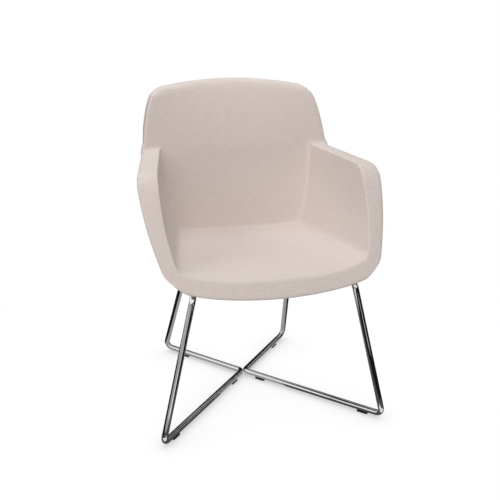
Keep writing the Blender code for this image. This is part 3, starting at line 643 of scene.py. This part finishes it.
def cut_all(axis, places):
    """Cut the mesh in edit mode by planes square to an axis."""
    normal = Vector((0.0, 0.0, 0.0))
    normal[axis] = 1.0
    for place in places:
        bpy.ops.mesh.select_all(action="SELECT")
        bpy.ops.mesh.bisect(plane_co=normal * place, plane_no=normal)


def raise_faces(obj, test, height):
    """Extrude the faces whose middle passes the test."""
    bpy.ops.mesh.select_all(action="DESELECT")
    bpy.ops.object.mode_set(mode="OBJECT")
    for face in obj.data.polygons:
        face.select = test(face.center)
    bpy.ops.object.mode_set(mode="EDIT")
    bpy.ops.mesh.extrude_region_move(TRANSFORM_OT_translate={"value": (0.0, 0.0, height)})


def on_rim(middle):
    return middle.z > TRAY - FACE_SLACK and (abs(middle.x) > SEAT_HALF or middle.y > SEAT_DEPTH)


def on_back(middle):
    return middle.z > ARM_TOP - FACE_SLACK and middle.y > SEAT_DEPTH


bpy.ops.object.select_all(action="DESELECT")
bpy.ops.mesh.primitive_cube_add(
    size=1.0,
    location=(0.0, FULL_DEPTH / 2, TRAY / 2),
    scale=(2 * OUTER_HALF, FULL_DEPTH, TRAY),
)
cover = bpy.context.object
cover.name = "tub_cover"
bpy.ops.object.transform_apply(location=True, rotation=True, scale=True)
bpy.ops.object.mode_set(mode="EDIT")
bpy.ops.mesh.select_mode(type="FACE")
cut_all(X, ACROSS_CUTS)
cut_all(Y, DEPTH_CUTS)
cut_all(Z, TRAY_CUTS)
raise_faces(cover, on_rim, ARM)
cut_all(Z, ARM_CUTS)
raise_faces(cover, on_back, BACK)
cut_all(Z, BACK_CUTS)
bpy.ops.mesh.select_all(action="SELECT")
bpy.ops.mesh.normals_make_consistent(inside=False)
bpy.ops.object.mode_set(mode="OBJECT")
print("box model:", len(cover.data.polygons), "faces")

# %% [markdown]
# Each edge gets its own radius: small on the crisp inner edges of the arms, larger at the front corner of
# the arm and round the top of the back, and hollow in the inner corners. A bevel would have to turn all
# these into one another at the corners. Moving the cuts beside each edge onto an arc does that by itself.

# %% Straight tub: round its edges
EDGE_SLACK = 1e-5  # metres, when a point is looked up by its place
FAR = 9.0  # beyond every point of the tub
EVERYWHERE = (0.0, FAR)
ON_SEAT = (0.0, SEAT_HALF)
ON_ARM = (SEAT_HALF, FAR)
BEFORE_BACK = (-FAR, SEAT_DEPTH)
FROM_BACK = (SEAT_DEPTH, FAR)
ROUND_EDGES = (
    # two planes as (axis, place, side that the arc lies on), radius, limits across, in depth and in height
    # inner corners: seat and arm, seat and back, arm and back, arm top and back
    ((X, SEAT_HALF, -1), (Z, TRAY, 1), 0.014, EVERYWHERE, BEFORE_BACK, (TRAY, FAR)),
    ((Y, SEAT_DEPTH, -1), (Z, TRAY, 1), 0.010, ON_SEAT, BEFORE_BACK, (TRAY, FAR)),
    ((X, SEAT_HALF, -1), (Y, SEAT_DEPTH, -1), 0.011, ON_SEAT, BEFORE_BACK, (TRAY, ARM_TOP)),
    ((Y, SEAT_DEPTH, -1), (Z, ARM_TOP, 1), 0.014, ON_ARM, BEFORE_BACK, (ARM_TOP, FAR)),
    # arm tops: inner edge, outer edge, front edge
    ((X, SEAT_HALF, 1), (Z, ARM_TOP, -1), 0.004, ON_ARM, BEFORE_BACK, (TRAY, ARM_TOP)),
    ((X, OUTER_HALF, -1), (Z, ARM_TOP, -1), 0.016, ON_ARM, BEFORE_BACK, (TRAY, ARM_TOP)),
    ((Y, 0.0, 1), (Z, ARM_TOP, -1), 0.036, ON_ARM, BEFORE_BACK, (TRAY, ARM_TOP)),
    # front face: inner edge of the arms, edge of the seat, outer edge of the arms, lower edge
    ((X, SEAT_HALF, 1), (Y, 0.0, 1), 0.004, ON_ARM, BEFORE_BACK, (TRAY, ARM_TOP)),
    ((Z, TRAY, -1), (Y, 0.0, 1), 0.006, ON_SEAT, BEFORE_BACK, (0.0, TRAY)),
    ((X, OUTER_HALF, -1), (Y, 0.0, 1), 0.010, ON_ARM, BEFORE_BACK, (0.0, ARM_TOP)),
    ((Z, 0.0, 1), (Y, 0.0, 1), 0.008, EVERYWHERE, BEFORE_BACK, (0.0, TRAY)),
    # lower edges of the sides and of the rear
    ((X, OUTER_HALF, -1), (Z, 0.0, 1), 0.034, ON_ARM, (-FAR, FAR), (0.0, TRAY)),
    ((Y, FULL_DEPTH, -1), (Z, 0.0, 1), 0.026, EVERYWHERE, FROM_BACK, (0.0, TRAY)),
    # back: rear edges at the sides, front edges at the sides, top in front, top behind, top corners
    ((X, OUTER_HALF, -1), (Y, FULL_DEPTH, -1), 0.016, ON_ARM, FROM_BACK, (0.0, FAR)),
    ((X, OUTER_HALF, -1), (Y, SEAT_DEPTH, 1), 0.008, ON_ARM, FROM_BACK, (ARM_TOP, FAR)),
    ((Z, BACK_TOP, -1), (Y, SEAT_DEPTH, 1), 0.021, EVERYWHERE, FROM_BACK, (ARM_TOP, FAR)),
    ((Z, BACK_TOP, -1), (Y, FULL_DEPTH, -1), 0.021, EVERYWHERE, FROM_BACK, (ARM_TOP, FAR)),
    ((X, OUTER_HALF, -1), (Z, BACK_TOP, -1), 0.040, ON_ARM, FROM_BACK, (ARM_TOP, FAR)),
)


def rounded(point):
    """A point of the straight tub with x not below 0, moved onto the arcs of the edges it lies beside."""
    moved = point.copy()
    for first, second, radius, *limits in ROUND_EDGES:
        spans = [(low - EDGE_SLACK, high + EDGE_SLACK) for low, high in limits]
        if any(not low <= value <= high for value, (low, high) in zip(point, spans)):
            continue
        steps = [(point[axis] - place) * side for axis, place, side in (first, second)]
        if min(steps) < -EDGE_SLACK or max(steps) >= radius:
            continue
        reach = [radius - step for step in steps]
        scale = max(reach) / math.hypot(*reach)
        for (axis, place, side), step, length in zip((first, second), steps, reach):
            moved[axis] += side * (radius - length * scale - step)
    return moved


print("edges rounded:", len(ROUND_EDGES))

# %% [markdown]
# The real tub is not straight. Its front face leans back, the sides draw in to the rear and towards the
# seat, the arms climb a little, the back leans and curls, its top is crowned, and the seat is dished and
# falls at the front. These are the sizes of all that, in metres where nothing else is said.

# %% Bend the tub: sizes
SEAT_Z = 0.4474  # beside the arms
ARM_Z = SEAT_Z + ARM  # front of the arm tops
BACK_Z = ARM_Z + BACK  # middle of the top
FRONT_Y = -0.2626  # front face at the seat
FRONT_LEAN = math.tan(math.radians(31.2))
BACK_Y = FRONT_Y + SEAT_DEPTH
BACK_LEAN = math.tan(math.radians(8.5))
BACK_CURL = 0.028  # how far the curl takes the top to the rear
CURL_FROM = 0.200  # height above the seat where the curl starts
CURL_SPAN = 0.207
BACK_DISH = 0.022  # hollow across the front of the back
TOP_DISH = 0.012  # how much more hollow its top is
REAR_FLATNESS = 0.25  # share of that hollow that the rear face leaves out
BACK_CROWN = 0.0225  # fall of the top towards its ends
BACK_NARROWING = 0.0262  # on each side, from the arms to the top
NARROWING_POWER = 1.7
BACK_STEP_IN = 0.0080  # on each side, just above the arms
STEP_RATE = 12.0  # the step is complete at a twelfth of the back's height
SQUARE_RATE = 5.0  # the sides of the back are square from a fifth of its height
ARM_HALF = 0.3171  # outer face at the front of the arm top
OUTER_DRAW_IN = 0.038  # outer face, from the arm top down to the seat
INNER_DRAW_IN = 0.0235  # inner face, the same way
TAPER = 0.177  # a side draws in by this share of the depth
ARM_CLIMB = 0.055  # an arm climbs by this share of the depth
SEAT_DISH = 0.008
DISH_POWER = 3.5
SEAT_FALL = 0.024  # how much lower the seat is at the front
FALL_SHARE = 0.25  # share of the depth where it falls
LIP_Z = 0.3719  # lowest point of the front
LIP_RISE = 0.034  # rise of the lower edge towards the sides
LIP_CORNER_RISE = 0.020  # a further rise, close to the sides
LIP_CORNER_POWER = 8
LIP_THICK = 0.018
LIP_SLOPE = 0.012  # depth over which the underside rises behind the lip
UNDERSIDE_Z = 0.3950
BOTTOM_DRAW_IN = 0.0125  # sides below the seat, curved
BOTTOM_LEAN_IN = 0.0100  # sides below the seat, straight
REAR_DRAW_IN = 0.045  # rear face below the seat
BOTTOM_POWER = 2.5
print("seat", SEAT_Z, "arms", round(ARM_Z, 4), "back", round(BACK_Z, 4))

# %% [markdown]
# Each face of the real tub is a small function: where the front and the back stand at some height, how far
# out an arm is, and how high the underside, the seat, the arm tops and the top of the back lie.

# %% Bend the tub: faces
def front_y(z):
    return FRONT_Y + FRONT_LEAN * (z - SEAT_Z)


def back_y(z):
    curl = max(0.0, z - SEAT_Z - CURL_FROM) / CURL_SPAN
    return BACK_Y + BACK_LEAN * (z - SEAT_Z) + BACK_CURL * curl ** 2


def side_x(y, z):
    """Inner and outer face of an arm."""
    fallen = max(0.0, (ARM_Z - z) / ARM)
    taper = TAPER * (y - front_y(z))
    inner = ARM_HALF - WALL - INNER_DRAW_IN * fallen ** 3 - taper
    outer = ARM_HALF - OUTER_DRAW_IN * fallen ** 2 - taper
    return inner, outer


def share(value, first, second, third=None):
    """Counts 0 to 1 up to the first length, 1 to 2 over the second, 2 to 3 over the third."""
    if value <= first:
        return value / first
    if third is None or value <= first + second:
        return 1.0 + (value - first) / second
    return 2.0 + (value - first - second) / third


def heights(across, depth, width, y):
    """Underside, seat, arm top and top of the back over one point."""
    lip = LIP_Z + LIP_RISE * width ** 2 + LIP_CORNER_RISE * width ** LIP_CORNER_POWER
    behind_lip = min(1.0, max(0.0, depth * SEAT_DEPTH - LIP_THICK) / LIP_SLOPE)
    under = lip + behind_lip * (max(lip, UNDERSIDE_Z) - lip)
    fall = max(0.0, 1.0 - depth / FALL_SHARE) ** 2
    dished = 1.0 - min(1.0, across) ** DISH_POWER
    seat = SEAT_Z - dished * (SEAT_DISH + SEAT_FALL * fall)
    arm = ARM_Z + ARM_CLIMB * (y - front_y(ARM_Z))
    top = BACK_Z - BACK_CROWN * width ** 2
    return under, seat, arm, top


print("depth of the seat", round(back_y(SEAT_Z) - front_y(SEAT_Z), 4))

# %% [markdown]
# A point keeps its shares of the straight tub's width, depth and height, and goes to the same shares between
# the real faces. A lattice could bend the box as well, but would not keep to the sizes. Depth and height
# depend on each other here, so they are worked out in a few rounds. Last, the mesh is made smooth as foam.

# %% Bend the tub: points
ROUNDS = 4
ARM_LEVEL = 2  # heights are counted as 1 at the seat, 2 at the arm top and 3 at the top of the back
SMOOTHING = 2


def bent(point):
    """The real place of a point of the straight tub with x not below 0."""
    across = share(point.x, SEAT_HALF, WALL)
    depth = share(point.y, SEAT_DEPTH, WALL)
    height = share(point.z, TRAY, ARM, BACK)
    width = point.x / OUTER_HALF
    low = max(0.0, 1.0 - height)
    above = max(0.0, height - ARM_LEVEL)
    hollow = (BACK_DISH + TOP_DISH * above) * (1.0 - width ** 2)
    step = min(2, max(0, int(height)))
    y = FRONT_Y + point.y
    for _ in range(ROUNDS):
        levels = heights(across, depth, width, y)
        z = levels[step] + (levels[step + 1] - levels[step]) * (height - step)
        if depth <= 1.0:
            y = front_y(z) + depth * (back_y(z) + hollow - front_y(z))
        else:
            y = back_y(z) + hollow * (1.0 - REAR_FLATNESS * (depth - 1.0)) + (depth - 1.0) * WALL
        y -= REAR_DRAW_IN * low ** BOTTOM_POWER * max(0.0, min(1.0, depth / 2.0)) ** 2
    square = min(1.0, above * SQUARE_RATE) * max(0.0, depth - 1.0) * WALL
    inner, outer = side_x(y - square, min(max(z, SEAT_Z), levels[ARM_LEVEL]))
    narrow = BACK_STEP_IN * min(1.0, above * STEP_RATE) + BACK_NARROWING * above ** NARROWING_POWER
    drawn = BOTTOM_LEAN_IN * low + BOTTOM_DRAW_IN * low ** BOTTOM_POWER
    squeeze = (outer - narrow - drawn) / outer
    x = across * inner if across <= 1.0 else inner + (across - 1.0) * (outer - inner)
    return Vector((x * squeeze, y, z))


for vertex in cover.data.vertices:
    side = math.copysign(1.0, vertex.co.x)
    place = bent(rounded(Vector((abs(vertex.co.x), vertex.co.y, vertex.co.z))))
    vertex.co = (side * place.x, place.y, place.z)
only(cover)
smooth = cover.modifiers.new("soft_foam", "SUBSURF")
smooth.levels = SMOOTHING
bpy.ops.object.modifier_apply(modifier=smooth.name)
bpy.ops.object.shade_smooth()
print("cover:", len(cover.data.polygons), "faces")

# %% [markdown]
# The underside of the tub has a shallow recess for the seat board, which lies flush in it. The recess is
# cut with a block of the board's outline, a hair larger than the board.

# %% Recess for the board
BOARD_ROOM = 0.0005  # between the board and the foam
BOARD_CORNER = 0.020
CORNER_STEPS = 6
REAR_ZONE = BOARD_CORNER * 1.1  # depth at the rear where the board's rear width is measured
BELOW_BOARD = 0.03  # how far the block reaches below the board
UPRIGHT = 0.01  # an edge of the block that rises more than this stands upright
board_low, board_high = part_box("seat_board")
board_points = [vertex.co for vertex in nodes["seat_board"].data.vertices]
rear_half = max(point.x for point in board_points if point.y > board_high.y - REAR_ZONE)
front_half = board_high.x

bpy.ops.object.select_all(action="DESELECT")
bpy.ops.mesh.primitive_cube_add(size=1.0)
room = bpy.context.object
room.name = "board_room"
for vertex in room.data.vertices:
    at_front = vertex.co.y < 0
    half = (front_half if at_front else rear_half) + BOARD_ROOM
    y = board_low.y - BOARD_ROOM if at_front else board_high.y + BOARD_ROOM
    z = board_high.z + BOARD_ROOM if vertex.co.z > 0 else board_low.z - BELOW_BOARD
    vertex.co = (math.copysign(half, vertex.co.x), y, z)
bpy.ops.object.mode_set(mode="EDIT")
bpy.ops.mesh.select_mode(type="EDGE")
bpy.ops.mesh.select_all(action="DESELECT")
bpy.ops.object.mode_set(mode="OBJECT")
for edge in room.data.edges:
    first, last = (room.data.vertices[i].co for i in edge.vertices)
    edge.select = abs(first.z - last.z) > UPRIGHT
bpy.ops.object.mode_set(mode="EDIT")
bpy.ops.mesh.bevel(offset=BOARD_CORNER, segments=CORNER_STEPS)
bpy.ops.object.mode_set(mode="OBJECT")
only(cover)
recess = cover.modifiers.new("board_recess", "BOOLEAN")
recess.operation = "DIFFERENCE"
recess.solver = "EXACT"
recess.object = room
bpy.ops.object.modifier_apply(modifier=recess.name)
bpy.data.objects.remove(room)
print("cover with its recess:", len(cover.data.polygons), "faces")

# %% [markdown]
# The weave needs a map in metres. Cube projection gives each panel the plane that it faces most, which is
# how flat cloth is laid on a tub: level threads on the back, and threads along the arms.

# %% Lay out the weave
only(cover)
bpy.ops.object.mode_set(mode="EDIT")
bpy.ops.mesh.select_all(action="SELECT")
bpy.ops.uv.cube_project(cube_size=1.0, correct_aspect=False, scale_to_bounds=False)
bpy.ops.object.mode_set(mode="OBJECT")
cover.data.uv_layers.active.name = WEAVE_MAP
cover.data.materials.clear()
cover.data.materials.append(fabric)
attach(cover, "root")
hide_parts("seat_pad", "back_pad", "left_arm_pad", "right_arm_pad")
print("cover laid out")

# %% [markdown]
# Each wire loop is one length of rod, bent at five corners and welded shut. The frame's loops have ten flat
# sides, which a mirror finish would show, so they are drawn again. First comes the path of the right loop,
# in straight runs and arcs, as a bending machine makes it.

# %% Wire loops: path
ROD = 0.016  # diameter
RUNNER_Z = 0.013  # middle of the rod in the runners
RAIL_Z = 0.3864  # middle of the rod in the rails under the seat
FOOT_BEND = 0.016
RAIL_BEND = 0.020
ROD_GAP = 0.0003  # between the two loops where they meet
LOOP_CENTRE_Y = 0.0673
LOOP_CORNERS = (
    # corner of the right loop, bend radius
    ((0.2922, -0.2833, RUNNER_Z), FOOT_BEND),
    ((0.2050, -0.2639, RAIL_Z), RAIL_BEND),
    ((0.1502, 0.0792, RAIL_Z), RAIL_BEND),
    ((0.1952, 0.3066, RUNNER_Z), FOOT_BEND),
)
ARC_STEPS = 14
RUN_STEP = 0.03
RUN_ENDS = (0.02, 0.98)  # shares of a run where a point keeps it straight beside a bend
ROUNDS_TO_MEET = 6


def centre_corner():
    """Where the two runners of a loop would meet without their bend."""
    front, rear = (Vector(LOOP_CORNERS[i][0]).xy for i in (0, 3))
    x = 0.0
    for _ in range(ROUNDS_TO_MEET):
        corner = Vector((x, LOOP_CENTRE_Y))
        ways = [(end - corner).normalized() for end in (front, rear)]
        half = ways[0].angle(ways[1]) / 2
        x = (ROD + ROD_GAP) / 2 + FOOT_BEND * (1.0 - (ways[0] + ways[1]).normalized().x / math.sin(half))
    return x, LOOP_CENTRE_Y, RUNNER_Z


def bent_rod_path(corners):
    """Points along straight runs and arcs, round a closed loop."""
    arcs = []
    for i, (corner, radius) in enumerate(corners):
        corner = Vector(corner)
        before = (Vector(corners[i - 1][0]) - corner).normalized()
        after = (Vector(corners[(i + 1) % len(corners)][0]) - corner).normalized()
        half = before.angle(after) / 2
        middle = corner + (before + after).normalized() * radius / math.sin(half)
        run = radius / math.tan(half)
        first, last = ((corner + way * run - middle).normalized() for way in (before, after))
        turns = [first.slerp(last, step / ARC_STEPS) for step in range(ARC_STEPS + 1)]
        arcs.append([middle + way * radius for way in turns])
    points = []
    for i, arc in enumerate(arcs):
        points += arc
        start, end = arc[-1], arcs[(i + 1) % len(arcs)][0]
        count = max(2, round((end - start).length / RUN_STEP))
        shares = [RUN_ENDS[0], *(step / count for step in range(1, count)), RUN_ENDS[1]]
        points += [start.lerp(end, part) for part in shares]
    return points


loop_path = bent_rod_path([*LOOP_CORNERS, (centre_corner(), FOOT_BEND)])
print("path of a loop:", len(loop_path), "points")

# %% [markdown]
# The path becomes a curve with a round section of many sides, and then a mesh. The left loop is the right
# one mirrored.

# %% Wire loops: rods
SECTION_STEPS = 14  # bevel resolution: 32 sides
WELD = 1e-6  # metres


def add_wire_loop(name, path, side):
    """One chromed rod along the path. A side of -1 mirrors it to the left."""
    curve = bpy.data.curves.new(name, "CURVE")
    curve.dimensions = "3D"
    spline = curve.splines.new("POLY")
    spline.points.add(len(path) - 1)
    for control, point in zip(spline.points, path):
        control.co = (side * point.x, point.y, point.z, 1.0)
    spline.use_cyclic_u = True
    curve.bevel_depth = ROD / 2
    curve.bevel_resolution = SECTION_STEPS
    loop = bpy.data.objects.new(name, curve)
    scene.collection.objects.link(loop)
    only(loop)
    bpy.ops.object.convert(target="MESH")
    bpy.ops.object.mode_set(mode="EDIT")
    bpy.ops.mesh.select_all(action="SELECT")
    bpy.ops.mesh.remove_doubles(threshold=WELD)
    bpy.ops.mesh.normals_make_consistent(inside=False)
    bpy.ops.object.mode_set(mode="OBJECT")
    bpy.ops.object.shade_smooth()
    loop.data.materials.clear()
    loop.data.materials.append(chrome)
    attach(loop, "root")
    return loop


for label, side in (("left", -1.0), ("right", 1.0)):
    rod = add_wire_loop(label + "_chrome_rod", loop_path, side)
    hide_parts(label + "_wire_loop")
    print(rod.name, len(rod.data.polygons), "faces")

# %% [markdown]
# The other pieces keep the frame's shapes, which are right as they are: glides, bars, bolts, washers, nuts,
# clips, screws, the board, the dust cloth and the hidden frames. They only need their finishes.

# %% Finishes of the frame's pieces
SLOT_FINISHES = {
    "zinc_steel": zinc,
    "frame_steel": lacquer,
    "black_plastic": plastic,
    "plywood": plywood,
    "dust_cloth": dust_cloth,
}
finished = 0
for part in frame["record"]["subparts"]:
    finish = SLOT_FINISHES.get(part["material_slot"])
    if finish is None:
        continue
    mesh = nodes[part["node"]].data
    mesh.materials.clear()
    mesh.materials.append(finish)
    finished += 1
print("finished", finished, "frame pieces")
